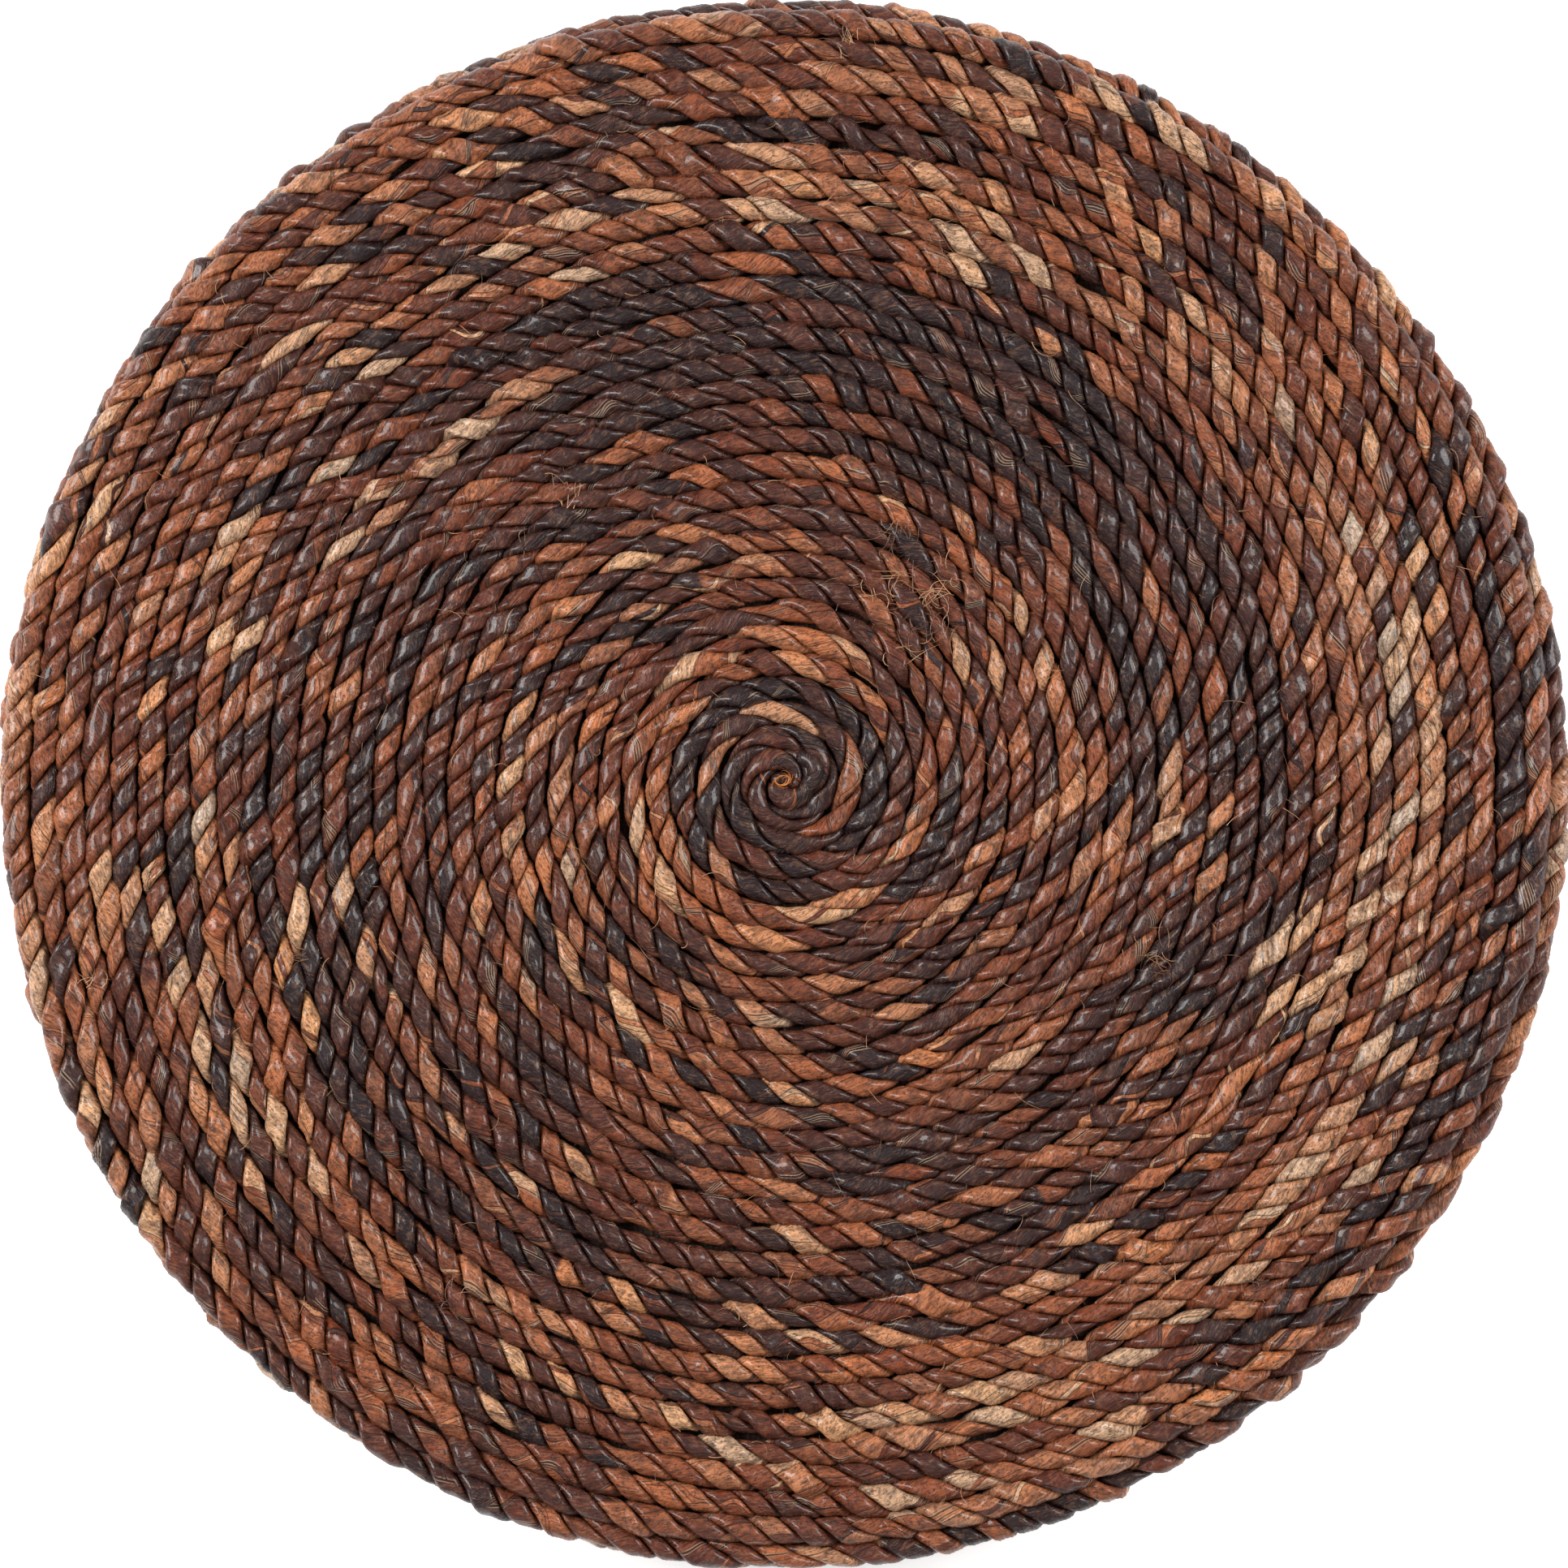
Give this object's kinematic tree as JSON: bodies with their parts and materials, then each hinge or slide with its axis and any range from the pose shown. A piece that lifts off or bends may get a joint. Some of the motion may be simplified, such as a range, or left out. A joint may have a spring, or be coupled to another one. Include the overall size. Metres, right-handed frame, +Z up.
{
  "type": "chair seat pad",
  "caption": "Round chair seat pad: a spiral coil of twisted two-ply natural fibre rope over felt and foam, with a rounded rim and a stitched cloth base.",
  "frame": {"origin": "centre of the flat underside, where the pad rests on a seat", "axes": "+Z up out of the seat surface through the centre of the coil, +X towards the point where the lowest row of rope ends"},
  "size_m": [0.38, 0.38, 0.032],
  "materials": {
    "rope": "twisted strips of plant fibre under a thin satin varnish",
    "rope_dark": "twisted strips of plant fibre, dark dyed, under a thin satin varnish",
    "thread": "waxed sewing thread",
    "scrim": "open plain-weave cotton, dyed dark brown",
    "felt": "needled felt",
    "foam": "open-cell cushion foam",
    "base_cloth": "plain-weave cotton canvas"
  },
  "bodies": {
    "root": {"top_coil": "rope", "rim_coil": "rope", "side_coil": "rope", "rope_start": "rope_dark", "rope_tail": "rope", "row_ties": "thread", "backing_scrim": "scrim", "felt_layer": "felt", "foam_core": "foam", "base_cloth": "base_cloth", "base_hem": "base_cloth", "base_stitches": "thread"}
  },
  "joints": []
}
